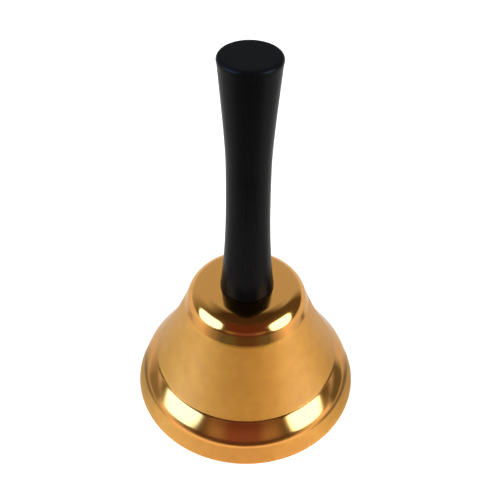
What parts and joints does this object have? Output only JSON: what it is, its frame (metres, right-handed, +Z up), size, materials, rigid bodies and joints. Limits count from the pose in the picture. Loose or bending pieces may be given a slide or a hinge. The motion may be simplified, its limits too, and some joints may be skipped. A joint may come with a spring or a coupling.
{
  "type": "hand bell",
  "caption": "Hand bell with a flared brass shell, a turned black wooden handle and a clapper that swings on a pinned hanger.",
  "frame": {"origin": "centre of the bell's mouth, in the plane of the rim that the bell stands on", "axes": "+Z up along the bell's axis through the handle; X is the way that the clapper swings; Y is along the hanger's pin"},
  "size_m": [0.08, 0.08, 0.133],
  "materials": {
    "shell_brass": "spun and turned, satin waist with a mirror-polished band and shoulder",
    "black_wood": "turned hardwood under black lacquer",
    "fitting_brass": "turned, unpolished",
    "plated_steel": "zinc plated"
  },
  "bodies": {
    "bell": {"bell_shell": "shell_brass", "handle": "black_wood", "threaded_insert": "fitting_brass", "hanger_screw": "plated_steel", "spring_washer": "plated_steel", "clapper_hanger": "plated_steel", "crown_washer": "plated_steel", "hanger_pin": "plated_steel"},
    "clapper": {"pivot_bush": "fitting_brass", "clapper_rod": "plated_steel", "clapper_ball": "fitting_brass", "clapper_nut": "plated_steel"}
  },
  "joints": [
    {"name": "clapper_swing", "type": "hinge", "parent": "bell", "child": "clapper", "pos_m": [0, 0, 0.0346], "axis": [0, 1, 0], "range_deg": [-48.5, 48.5]}
  ]
}
